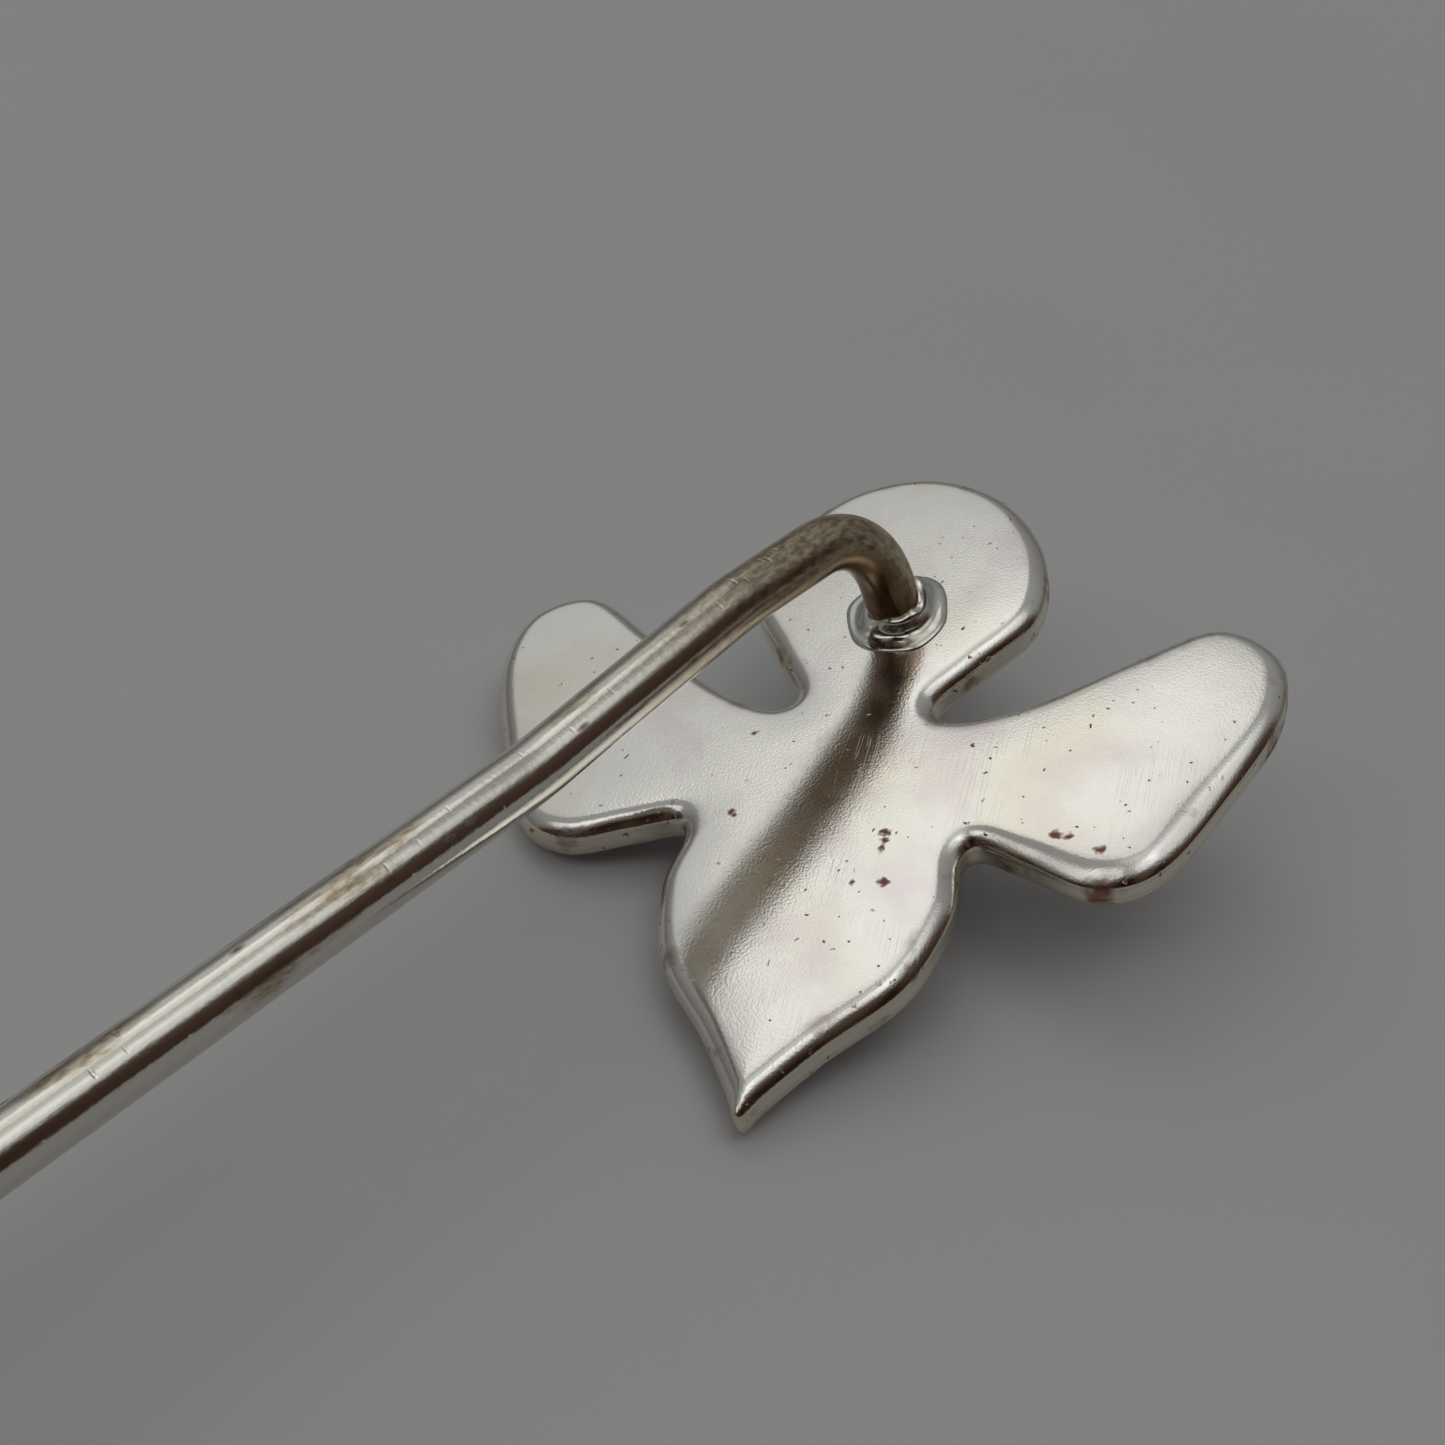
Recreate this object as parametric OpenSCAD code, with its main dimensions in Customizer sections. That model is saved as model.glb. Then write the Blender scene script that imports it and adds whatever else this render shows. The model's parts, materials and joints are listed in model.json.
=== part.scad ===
// Stick pin for a tie or lapel: a four-lobed silver plate with a bent pin wire
// soldered to its back, and a push-on guard over the point.
// Millimetres. The pin lies as it does on a table, face down, on two edges of
// the plate and on the guard. +Z is up and the point looks along -Y.

/* [Plate] */
// Width over the two side lobes
plate_w = 13; // [11:0.5:16]
// Thickness below the widest line of the edge, on the front side
front_t = 0.5; // [0.4:0.05:0.8]
// Thickness above the widest line, up to the flat back
back_t = 0.25; // [0.2:0.05:0.3]
// How far the flat faces stand in from the widest line
edge_inset = 0.12; // [0.08:0.01:0.12]

/* [Pin wire] */
// Wire diameter
wire_d = 0.9; // [0.8:0.05:1]
// Height of the bend's corner above the back of the plate
post_h = 2.05; // [1.9:0.05:2.6]
// Radius of the bend, to the middle of the wire
bend_r = 1.6; // [1:0.1:1.7]
// Heading of the wire, from the plate's long axis towards its left side
heading = 22; // [0:1:40]
// Lean of the whole wire to the left side
side_lean = 10; // [0:1:12]
// Climb of the wire away from the plate, just past the bend
near_climb = 13; // [12:0.5:14]
// Climb of the wire's middle stretch, between its two kinks
mid_climb = 7; // [5:0.5:9]
// Climb of the long shank
shank_climb = 11.5; // [11:0.5:13]
// Length of the last stretch, with its point
shank_len = 43; // [36:1:50]
// Length of the taper to the point
point_len = 5; // [3:0.5:7]
// Diameter of the finely drawn end that the guard grips
end_d = 0.86; // [0.76:0.02:0.88]

/* [Guard] */
// How much of the wire the guard covers
cover_len = 9; // [8:0.5:11]
// Outer diameter of the barrel
barrel_d = 3.2; // [2.8:0.1:4]
// Thickness of the barrel's drawn wall
barrel_wall = 0.3; // [0.25:0.05:0.4]
// Height of the barrel's domed end
dome_h = 0.9; // [0.6:0.1:1.4]
// Outer diameter of the bead at the mouth
mouth_d = 3.8; // [3.5:0.1:4.6]
// Radial play between the wire's end and the sleeve round it
grip_play = 0.03; // [0.02:0.01:0.06]

/* [Hidden] */
$fn = 48;

wire_r = wire_d / 2;
climb = [near_climb, mid_climb, shank_climb];
plate_scale = plate_w / 13;

// Right half of the outline, from the top of the round lobe to the pointed tip
HALF = [
    [0, 5.86], [1.35, 5.38], [2.27, 4.1], [2.42, 2.6], [1.68, 1.38], [1.14, 0.5],
    [1.52, 0.16], [2.65, 0.62], [4.05, 1.68], [5.3, 2.48], [6.3, 1.95], [6.44, 0.7],
    [5.8, -1.0], [5.05, -2.45], [4.15, -2.86], [3.1, -2.53], [2.38, -2.3], [2.16, -2.62],
    [2.24, -3.6], [1.84, -4.95], [0.92, -6.08], [0.3, -6.95], [0, -7.4]
];
half_last = len(HALF) - 1;
LEFT = [for (i = [half_last - 1:-1:1]) [-HALF[i][0], HALF[i][1]]];
RING = [for (p = concat(HALF, LEFT)) plate_scale * p];
ring_n = len(RING);
span_steps = 2;

// A smooth curve that runs through b and c, at t from 0 to 1
function through(a, b, c, d, t) =
    0.5 * (2 * b + (c - a) * t + (2 * a - 5 * b + 4 * c - d) * t * t + (3 * b - a - 3 * c + d) * t * t * t);
function ring_at(i) = RING[(i + ring_n) % ring_n];
OUTLINE = [
    for (i = [0:ring_n - 1], k = [0:span_steps - 1])
        through(ring_at(i - 1), ring_at(i), ring_at(i + 1), ring_at(i + 2), k / span_steps)
];
outline_n = len(OUTLINE);

// The outline moved inwards by d, along the normal of its two neighbours
function unit(v) = v / norm(v);
function inward(i) =
    let (run = unit(OUTLINE[(i + 1) % outline_n] - OUTLINE[(i + outline_n - 1) % outline_n]))
    [run[1], -run[0]];
function inset(d) = [for (i = [0:outline_n - 1]) OUTLINE[i] + d * inward(i)];

// The full outline stands between the two flat faces, which reach past it and stand further in
wall_low = -front_t / 2;

// Where the wire stands on the back, and its path in its own upright plane
foot = [0.2, 2.25, back_t];
kink_x = [3.1, 7.4];
kink_z = [
    post_h + kink_x[0] * tan(climb[0]),
    post_h + kink_x[0] * tan(climb[0]) + (kink_x[1] - kink_x[0]) * tan(climb[1])
];
bend_turn = 90 - climb[0];
bend_run = bend_r * tan(bend_turn / 2);
bend_z = post_h - bend_run;
// Each kink is a wide, shallow bend, and the wire is a touch thinner in every bend
kink_r = 8;
bent_r = wire_r - 0.004;
join = 0.02;
function half_turn(i) = abs(climb[i + 1] - climb[i]) / 2;
function kink_run(i) = kink_r * tan(half_turn(i));

// Guard, measured along the wire from the last kink
mouth_at = shank_len - cover_len;
ring_len = 1.2;
lip_t = 0.25;
lip_play = 0.25;
tip_gap = 0.4;
barrel_len = cover_len + tip_gap + barrel_wall;
side_len = barrel_len - dome_h;
barrel_r = barrel_d / 2;
sleeve_r = barrel_r - barrel_wall;

// The wire is drawn down to its finer end just before the guard
draw_len = 1;
full_len = mouth_at - draw_len;
end_r = end_d / 2;
tip_r = 0.06;

// Quarter of an ellipse, from the side of a round end to its top
function dome(r, h, base) = [for (a = [0:15:90]) [r * cos(a), base + h * sin(a)]];

// Rest pose: the plate leans over its lower left edge until the guard's round end touches down
edge_turn = 45;
edge_reach = 5.35 * plate_scale;
function spin_z(a, v) = [v[0] * cos(a) - v[1] * sin(a), v[0] * sin(a) + v[1] * cos(a), v[2]];
function spin_x(a, v) = [v[0], v[1] * cos(a) - v[2] * sin(a), v[1] * sin(a) + v[2] * cos(a)];
function from_wire(v) = foot + spin_z(-90 - heading, spin_x(side_lean, v));
function shank_point(s) =
    from_wire([kink_x[1] + s * cos(climb[2]), 0, kink_z[1] + s * sin(climb[2])]);
function on_edge(v) = spin_z(edge_turn, v) + [0, edge_reach, front_t];
dome_over_edge = on_edge(shank_point(mouth_at + side_len));
rest_lean = atan2(dome_over_edge[2], -dome_over_edge[1])
    - asin(barrel_r / norm([dome_over_edge[1], dome_over_edge[2]]));
function leaned(v) = spin_x(rest_lean, on_edge(v));
shank_run = leaned(shank_point(shank_len)) - leaned(shank_point(0));
rest_turn = -90 - atan2(shank_run[1], shank_run[0]);
function rested(v) = spin_z(rest_turn, leaned(v));

// The origin is under the middle of the whole pin
PLATE_AT_REST = [for (p = OUTLINE) rested([p[0], p[1], -front_t / 2])];
plate_x = [for (p = PLATE_AT_REST) p[0]];
plate_y = [for (p = PLATE_AT_REST) p[1]];
guard_end = rested(shank_point(mouth_at + barrel_len));
middle = [(min(plate_x) + max(plate_x)) / 2, (guard_end[1] + max(plate_y)) / 2, 0];

module at_rest() {
    translate(-middle)
        rotate([0, 0, rest_turn])
            rotate([rest_lean, 0, 0])
                translate([0, edge_reach, front_t])
                    rotate([0, 0, edge_turn])
                        children();
}

module on_wire() {
    at_rest()
        translate(foot)
            rotate([0, 0, -90 - heading])
                rotate([side_lean, 0, 0])
                    children();
}

// Along the last straight stretch, with +Z towards the point
module on_shank(s = 0) {
    on_wire()
        translate([kink_x[1], 0, kink_z[1]])
            rotate([0, 90 - climb[2], 0])
                translate([0, 0, s])
                    children();
}

module bend() {
    translate([bend_r, 0, bend_z])
        rotate([90, 0, 0])
            rotate([0, 0, 180 - bend_turn])
                rotate_extrude(angle = bend_turn)
                    translate([bend_r, 0])
                        circle(r = bent_r);
}

// Flat four-lobed plate with rounded edges
module ornament_plate() {
    color("silver")
        at_rest() {
            translate([0, 0, wall_low])
                linear_extrude(-wall_low)
                    polygon(OUTLINE);
            translate([0, 0, -front_t])
                linear_extrude(front_t + back_t)
                    polygon(inset(edge_inset));
        }
}

// Ring of solder that has flowed round the wire's foot
module solder_collar() {
    foot_r = 0.78;
    shoulder_r = 0.66;
    top_r = 0.5;
    height = 0.36;
    color("gainsboro")
        difference() {
            at_rest()
                translate(foot)
                    rotate_extrude()
                        polygon([
                            [0, 0], [foot_r, 0], [foot_r, height / 3],
                            [shoulder_r, height * 0.8], [top_r, height], [0, height]
                        ]);
            on_wire()
                translate([0, 0, -1])
                    cylinder(r = wire_r, h = 2);
        }
}

// The wire's post, cut flat where it meets the back of the plate
module post() {
    slab = 3;
    difference() {
        on_wire()
            translate([0, 0, -wire_r])
                cylinder(r = wire_r, h = wire_r + bend_z + join);
        at_rest()
            translate(foot - [slab / 2, slab / 2, slab])
                cube(slab);
    }
}

// A straight stretch at one slope, from one distance past x, z to another
module straight(x, z, slope, from, to) {
    on_wire()
        translate([x, 0, z])
            rotate([0, 90 - slope, 0])
                translate([0, 0, from - join])
                    cylinder(r = wire_r, h = to - from + 2 * join);
}

// The shallow bend between two stretches
module kink(i) {
    half = half_turn(i);
    on_wire()
        translate([kink_x[i], 0, kink_z[i]])
            rotate([0, -(climb[i] + climb[i + 1]) / 2, 0])
                mirror([0, 0, climb[i + 1] > climb[i] ? 1 : 0])
                    translate([0, 0, -kink_r / cos(half)])
                        rotate([90, 0, 0])
                            rotate([0, 0, 90 - half])
                                rotate_extrude(angle = 2 * half)
                                    translate([kink_r, 0])
                                        circle(r = bent_r);
}

// Round wire: post, bend, two gently kinked stretches and a straight shank
module pin_stem() {
    color("darkkhaki") {
        post();
        on_wire()
            bend();
        straight(0, post_h, climb[0], bend_run, kink_x[0] / cos(climb[0]) - kink_run(0));
        kink(0);
        straight(
            kink_x[0], kink_z[0], climb[1],
            kink_run(0), (kink_x[1] - kink_x[0]) / cos(climb[1]) - kink_run(1)
        );
        kink(1);
        on_shank() {
            translate([0, 0, kink_run(1) - join])
                cylinder(r = wire_r, h = full_len - kink_run(1) + join);
            translate([0, 0, full_len])
                cylinder(r1 = wire_r, r2 = end_r, h = draw_len);
            translate([0, 0, full_len + draw_len])
                cylinder(r = end_r, h = shank_len - point_len - full_len - draw_len);
            translate([0, 0, shank_len - point_len])
                cylinder(r1 = end_r, r2 = tip_r, h = point_len);
        }
    }
}

// Drawn barrel with a domed, closed end
module guard_barrel() {
    color("silver")
        on_shank(mouth_at)
            rotate_extrude()
                difference() {
                    polygon(concat([[0, 0], [barrel_r, 0]], dome(barrel_r, dome_h, side_len)));
                    polygon(concat([[0, -1], [sleeve_r, -1]], dome(sleeve_r, dome_h - barrel_wall, side_len)));
                }
}

// Nylon sleeve that grips the wire
module guard_sleeve() {
    color("ivory")
        on_shank(mouth_at)
            difference() {
                cylinder(r = sleeve_r, h = side_len);
                translate([0, 0, -1])
                    cylinder(r = end_r + grip_play, h = barrel_len + 2);
            }
}

// Ring pressed over the mouth: a round bead outside and a lip that holds the sleeve in
module guard_mouth_ring() {
    lip_r = wire_r + lip_play;
    color("silver")
        on_shank(mouth_at)
            rotate_extrude() {
                translate([lip_r, -lip_t])
                    square([barrel_r - lip_r, lip_t]);
                difference() {
                    translate([mouth_d / 2 - ring_len / 2, ring_len / 2 - lip_t])
                        circle(d = ring_len);
                    translate([0, -1])
                        square([barrel_r, ring_len + 2]);
                }
            }
}

ornament_plate();
solder_collar();
pin_stem();
guard_barrel();
guard_sleeve();
guard_mouth_ring();
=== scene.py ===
# %% [markdown]
# # A stick pin with a four-lobed silver plate
# The pin has two groups of pieces. The plate, the ring of solder and the bent wire are one
# rigid group. The guard is the other: a metal barrel with a nylon sleeve in it, and a ring
# over its mouth, which slides off the wire's point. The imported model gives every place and
# size, and this script gives the pieces their true edges, curves and finishes.
# Its own numbers are in millimetres, but for the depths of relief in the finishes, which
# Blender takes in metres.

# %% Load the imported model
import json
import math

import bpy
import numpy as np
from mathutils import Matrix, Vector, noise
from mathutils.geometry import delaunay_2d_cdt


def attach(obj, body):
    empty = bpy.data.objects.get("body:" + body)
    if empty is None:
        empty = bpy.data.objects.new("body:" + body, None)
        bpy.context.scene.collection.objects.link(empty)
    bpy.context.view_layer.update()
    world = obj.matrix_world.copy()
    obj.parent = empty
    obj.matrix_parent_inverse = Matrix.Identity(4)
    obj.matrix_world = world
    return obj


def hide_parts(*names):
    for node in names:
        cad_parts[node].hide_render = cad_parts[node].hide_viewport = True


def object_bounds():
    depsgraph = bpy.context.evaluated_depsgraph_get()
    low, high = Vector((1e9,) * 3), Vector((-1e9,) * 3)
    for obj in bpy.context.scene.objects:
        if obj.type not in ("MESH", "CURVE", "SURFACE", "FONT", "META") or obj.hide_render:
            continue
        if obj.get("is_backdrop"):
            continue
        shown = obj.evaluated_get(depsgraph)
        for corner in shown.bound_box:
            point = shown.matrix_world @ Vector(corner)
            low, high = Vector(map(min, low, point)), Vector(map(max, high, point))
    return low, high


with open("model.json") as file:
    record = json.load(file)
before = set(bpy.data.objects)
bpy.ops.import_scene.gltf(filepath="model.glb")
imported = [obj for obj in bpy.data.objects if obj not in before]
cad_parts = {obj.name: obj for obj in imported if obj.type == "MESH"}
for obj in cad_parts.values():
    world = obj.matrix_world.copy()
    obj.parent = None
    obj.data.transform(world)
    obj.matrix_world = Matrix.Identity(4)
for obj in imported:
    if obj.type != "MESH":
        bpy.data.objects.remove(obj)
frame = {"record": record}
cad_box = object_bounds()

MM = 0.001

# %% [markdown]
# ## The plate's own frame
# The pin lies face down and leans on its edge, so its plate is tilted in the model's frame.
# It could be drawn flat and turned with an object's rotation. Here one matrix takes a point
# of the plate, in millimetres, to its place in the model, so that each mesh is made in place.
# The plate's u runs to its right, v to its round lobe, and n out of its back. Two mounts in
# the record give the matrix: the middle of the back, and the direction of the shank.

# %% From the plate's millimetres to the model's metres
BACK_T = 0.25
HEADING = 22
SIDE_LEAN = 10
CLIMB = [13, 7, 11.5]
back_point = Vector((0, -1.5, BACK_T))


def turned(axis, degrees):
    return Matrix.Rotation(math.radians(degrees), 3, axis)


def basis(up, run):
    """Three square axes: the part of run that is square to up, the third axis, and up."""
    ahead = (run - run.dot(up) * up).normalized()
    return Matrix((ahead, up.cross(ahead), up)).transposed()


mounts = {m["name"]: m for m in frame["record"]["mounts"]}
back_up = Vector(mounts["back_face"]["axis"]).normalized()
shank_run = Vector(mounts["pin_shank"]["axis"]).normalized()
WIRE_TURN = turned("Z", -90 - HEADING) @ turned("X", SIDE_LEAN)
shank_climb = math.radians(CLIMB[2])
shank_in_plate = WIRE_TURN @ Vector((math.cos(shank_climb), 0, math.sin(shank_climb)))
PLATE_TURN = basis(back_up, shank_run) @ basis(Vector((0, 0, 1)), shank_in_plate).transposed()
plate_origin = Vector(mounts["back_face"]["pos_m"]) - PLATE_TURN @ back_point * MM
PLATE = Matrix.Translation(plate_origin) @ PLATE_TURN.to_4x4() @ Matrix.Scale(MM, 4)
print("the back faces", [round(x, 3) for x in back_up])

# %% [markdown]
# ## Colours and nodes
# Colours are written as the hex values that a colour picker shows. Blender's shaders work in
# linear light, so one function turns each value to linear. Another small function adds any
# node, with its settings and its links, which keeps each material short enough to read.


# %% Colour and node helpers
def paint(hex_colour):
    """An sRGB hex colour as linear red, green, blue and alpha."""
    parts = [int(hex_colour[i : i + 2], 16) / 255 for i in (0, 2, 4)]
    linear = [c / 12.92 if c <= 0.04045 else ((c + 0.055) / 1.055) ** 2.4 for c in parts]
    return (*linear, 1.0)


def add(tree, kind, inputs=None, **settings):
    """Adds one node. inputs maps a socket to a value, or to another node's output."""
    made = tree.nodes.new("ShaderNode" + kind)
    for name, value in settings.items():
        setattr(made, name, value)
    for socket, value in (inputs or {}).items():
        if isinstance(value, bpy.types.NodeSocket):
            tree.links.new(value, made.inputs[socket])
        else:
            made.inputs[socket].default_value = value
    return made


def finish_named(name):
    """A new material, its node tree and its Principled shader."""
    material = bpy.data.materials.new(name)
    material.use_nodes = True
    return material, material.node_tree, material.node_tree.nodes["Principled BSDF"]


print("linear mid grey:", round(paint("808080")[0], 3))

# %% [markdown]
# ## The floor, the light and the camera
# Polished metal shows what stands around it more than its own colour, so its surroundings
# come first. One soft round light hangs where the flat back mirrors it towards the camera:
# the back turns bright, and the wire above it shows as a dark band in the mirror. The rest
# comes from the sky. It is grey and a little brighter overhead, as in a plain room. Soft
# bright panels, as from windows and lamps, draw the bright lines along the wire and the
# rolled edges. Dark patches on the camera's side, as from somebody who stands there, draw
# the brown line by the near rim and the dark stripe down the wire. A panorama of a real room
# would give all that at once, but each panel here can be moved while its line is watched.

# %% Camera
LENS_MM = 52.3
CAMERA_AT = Vector((8.65, -21.6, 23.91))
CAMERA_LOOKS_AT = Vector((-2.25, -0.13, 0))
CAMERA_UP = Vector((-0.066, 0.727, 0.683))

camera = bpy.data.objects.new("camera", bpy.data.cameras.new("camera"))
bpy.context.scene.collection.objects.link(camera)
backwards = (PLATE_TURN @ (CAMERA_AT - CAMERA_LOOKS_AT)).normalized()
sideways = (PLATE_TURN @ CAMERA_UP).cross(backwards).normalized()
camera_turn = Matrix((sideways, backwards.cross(sideways), backwards)).transposed()
camera.matrix_world = Matrix.Translation(PLATE @ CAMERA_AT) @ camera_turn.to_4x4()
camera.data.lens = LENS_MM
camera.data.sensor_width = 36
camera.data.clip_start = 0.001
bpy.context.scene.camera = camera
bpy.context.scene.view_settings.view_transform = "Standard"
print("camera is", round((CAMERA_AT - CAMERA_LOOKS_AT).length, 1), "mm from the plate")

# %% Sky: a grey dome with soft bright panels, and dark patches on the camera's side
def heading(round_by, above):
    """A direction, in degrees clockwise from +Y as seen from above, and above the floor."""
    around, up = math.radians(round_by), math.radians(above)
    return Vector((math.sin(around) * math.cos(up), math.cos(around) * math.cos(up), math.sin(up)))


world = bpy.data.worlds.new("studio_sky")
bpy.context.scene.world = world
world.use_nodes = True
sky = world.node_tree
towards = add(sky, "TexCoord").outputs["Generated"]


def patch(direction, inner, outer, low, high):
    """A soft round patch of sky: high within inner degrees of a direction, low past outer."""
    dot = add(sky, "VectorMath", {0: towards, 1: direction}, operation="DOT_PRODUCT")
    limits = {"From Min": math.cos(math.radians(outer)), "From Max": math.cos(math.radians(inner))}
    return add(
        sky, "MapRange", {"Value": dot.outputs["Value"], "To Min": low, "To Max": high, **limits},
        interpolation_type="SMOOTHSTEP",
    ).outputs[0]


SKY_LOW, SKY_HIGH = 0.12, 0.31
# Degrees round and above, degrees to where the panel is full and where it ends, and glow
PANELS = [
    (55, 64, 6, 20, 0.4), (100, 67, 6, 16, 0.5), (178, 58, 5, 15, 0.65), (-157, 45, 5, 15, 0.45),
    (30, 82, 6, 22, 0.28), (-64, 44, 8, 24, 0.26),
]
# The same four angles, for the places where only a part of the sky's light is left
DARK = [(68, 20, 18, 34), (112, 24, 22, 40), (155, 18, 20, 38), (-172, 8, 12, 28), (143, 40, 10, 20)]
DARK_LEFT = 0.25
# The weakest light is warm, as it comes off walls and hands, and turns neutral by CLEAR_AT
WARM_AT, CLEAR_AT = 0.02, 0.16

height = add(sky, "SeparateXYZ", {0: towards}).outputs["Z"]
strength = add(sky, "MapRange", {"Value": height, "To Min": SKY_LOW, "To Max": SKY_HIGH}).outputs[0]
for round_by, above, inner, outer, glow in PANELS:
    lit = patch(heading(round_by, above), inner, outer, 0.0, glow)
    strength = add(sky, "Math", {0: strength, 1: lit}, operation="ADD").outputs[0]
for round_by, above, inner, outer in DARK:
    shade = patch(heading(round_by, above), inner, outer, 1.0, DARK_LEFT)
    strength = add(sky, "Math", {0: strength, 1: shade}, operation="MULTIPLY").outputs[0]
clear = add(sky, "MapRange", {"Value": strength, "From Min": WARM_AT, "From Max": CLEAR_AT}).outputs[0]
tone = add(sky, "Mix", {0: clear, 6: paint("FFC09A"), 7: paint("FBFCFA")}, data_type="RGBA")
sky.links.new(tone.outputs[2], sky.nodes["Background"].inputs["Color"])
sky.links.new(strength, sky.nodes["Background"].inputs["Strength"])
print("sky:", len(PANELS), "panels,", len(DARK), "dark patches")

# %% Softbox in the mirror direction
LIGHT_TOWARDS = heading(-60, 62)
LIGHT_AWAY = 300
LIGHT_ACROSS = 140
LIGHT_GLOW = 0.43

softbox = bpy.data.objects.new("softbox", bpy.data.lights.new("softbox", "AREA"))
bpy.context.scene.collection.objects.link(softbox)
softbox.location = plate_origin + LIGHT_TOWARDS * LIGHT_AWAY * MM
softbox.rotation_mode = "QUATERNION"
softbox.rotation_quaternion = LIGHT_TOWARDS.to_track_quat("Z", "Y")
softbox.data.shape = "DISK"
softbox.data.size = LIGHT_ACROSS * MM
# A soft light's watts are its glow times its area times pi
softbox.data.energy = LIGHT_GLOW * math.pi * math.pi * (LIGHT_ACROSS / 2 * MM) ** 2
softbox.data.color = paint("FFFDF6")[:3]
softbox.visible_camera = False
mirrored = (2 * backwards.dot(back_up) * back_up - backwards).normalized()
print("the light is", round(math.degrees(mirrored.angle(LIGHT_TOWARDS))), "degrees off the mirror way")

# %% Floor: a pale, smooth laminate top with a faint cloudiness
FLOOR_HALF = 600
CLOUDS_PER_M = 60.0

floor_mesh = bpy.data.meshes.new("floor")
corners = [(-1, -1), (1, -1), (1, 1), (-1, 1)]
corner_points = [(x * FLOOR_HALF * MM, y * FLOOR_HALF * MM, 0) for x, y in corners]
floor_mesh.from_pydata(corner_points, [], [(0, 1, 2, 3)])
floor = bpy.data.objects.new("floor", floor_mesh)
bpy.context.scene.collection.objects.link(floor)
laminate, tree, shader = finish_named("pale_laminate")
place = add(tree, "TexCoord").outputs["Object"]
cloud = add(tree, "TexNoise", {"Vector": place, "Scale": CLOUDS_PER_M, "Detail": 2.0}).outputs["Fac"]
pale = add(tree, "Mix", {0: cloud, 6: paint("CFCFD1"), 7: paint("D6D6D8")}, data_type="RGBA")
tree.links.new(pale.outputs[2], shader.inputs["Base Color"])
shader.inputs["Roughness"].default_value = 0.55
floor.data.materials.append(laminate)
floor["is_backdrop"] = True
print("floor:", 2 * FLOOR_HALF, "mm across, finish:", laminate.name)

# %% [markdown]
# ## Putting a mesh in the model
# Each piece below is a list of points in the plate's millimetres, and faces between them. One
# function makes the mesh, marks each point with where it is on its own piece, and hangs it on
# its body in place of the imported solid. The finishes read those marks, so that a pattern runs
# along the wire or stays by the rim, whichever way the pin lies.


# %% One function for all pieces
def make_piece(node, body, slot, points, faces, material, **marks):
    """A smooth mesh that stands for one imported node. marks are numbers or triples, one a point."""
    mesh = bpy.data.meshes.new(node)
    mesh.from_pydata([PLATE @ Vector(p) for p in points], [], faces)
    mesh.shade_smooth()
    for name, values in marks.items():
        values = np.asarray(values, np.float32)
        kind, key = ("FLOAT_VECTOR", "vector") if values.ndim == 2 else ("FLOAT", "value")
        mesh.attributes.new(name, kind, "POINT").data.foreach_set(key, values.ravel())
    mesh.materials.append(material)
    made = bpy.data.objects.new(node + "_finished", mesh)
    bpy.context.scene.collection.objects.link(made)
    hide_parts(node)
    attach(made, body)
    print(f"{made.name}: {len(mesh.vertices)} points, {len(mesh.polygons)} faces")
    return made


def mark(tree, name, output="Vector"):
    """What a finish reads a piece's mark with."""
    return add(tree, "Attribute", attribute_name=name).outputs[output]


# %% [markdown]
# ## Finish: worn silver plate
# The ornament is a stamped blank, tumbled to round its edges and then silver plated. New plate
# is a plain mirror. Years of handling leave a satin grain, fine scratches that mostly run one
# way, cloudy patches where the plate has thinned and yellowed or gone faintly pink, and brown
# sulphide in the pits and along the rim, where a polishing cloth doesn't reach.
# A metal keeps the default IOR. Its colour is its reflection, so the base colour stays pale.
# The marks could be painted by hand on an unwrapped plate. Here they are noise and cells of a
# known size in millimetres, which need no unwrapping, and only the few deep pits are placed.


# %% Patterns that the finishes share: specks, hairlines, clouds and bands
def spots(tree, where, per_mm, share, softness=0.06):
    """Scattered round specks, 1 in each speck and 0 between: per_mm cells in a millimetre."""
    cells = add(tree, "TexVoronoi", {"Vector": where, "Scale": per_mm, "Randomness": 1.0})
    limits = {"From Min": share + softness, "From Max": share}
    return add(tree, "MapRange", {"Value": cells.outputs["Distance"], **limits}).outputs[0]


def streaks(tree, where, stretch, turn_by, width):
    """Fine hairlines: noise that is stretched along one way and kept only near its middle."""
    laid = add(
        tree, "Mapping", {"Vector": where, "Rotation": (0, 0, math.radians(turn_by)), "Scale": stretch}
    )
    grain = add(tree, "TexNoise", {"Vector": laid.outputs[0], "Scale": 1.0, "Detail": 1.0})
    middle = add(tree, "Math", {0: grain.outputs["Fac"], 1: 0.5}, operation="SUBTRACT")
    away = add(tree, "Math", {0: middle.outputs[0]}, operation="ABSOLUTE")
    return add(tree, "MapRange", {"Value": away.outputs[0], "From Min": width, "From Max": 0.0}).outputs[0]


def blended(tree, share, first, second):
    """Two colours, mixed by share."""
    return add(tree, "Mix", {0: share, 6: first, 7: second}, data_type="RGBA").outputs[2]


def multiplied(tree, first, second):
    """One number times another, which keeps a pattern to where both are high."""
    return add(tree, "Math", {0: first, 1: second}, operation="MULTIPLY").outputs[0]


def cloudy(tree, where, per_mm, low, high, detail=3.0):
    """Soft patches, per_mm of them in a millimetre, from 0 below low to 1 above high."""
    cloud = add(tree, "TexNoise", {"Vector": where, "Scale": per_mm, "Detail": detail}).outputs["Fac"]
    return add(tree, "MapRange", {"Value": cloud, "From Min": low, "From Max": high}).outputs[0]


def band(tree, value, middle, half):
    """1 where value is middle, and 0 from half away on."""
    off = add(tree, "Math", {0: value, 1: middle}, operation="SUBTRACT").outputs[0]
    away = add(tree, "Math", {0: off}, operation="ABSOLUTE").outputs[0]
    return add(tree, "MapRange", {"Value": away, "From Min": half, "From Max": 0.0}).outputs[0]


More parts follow.
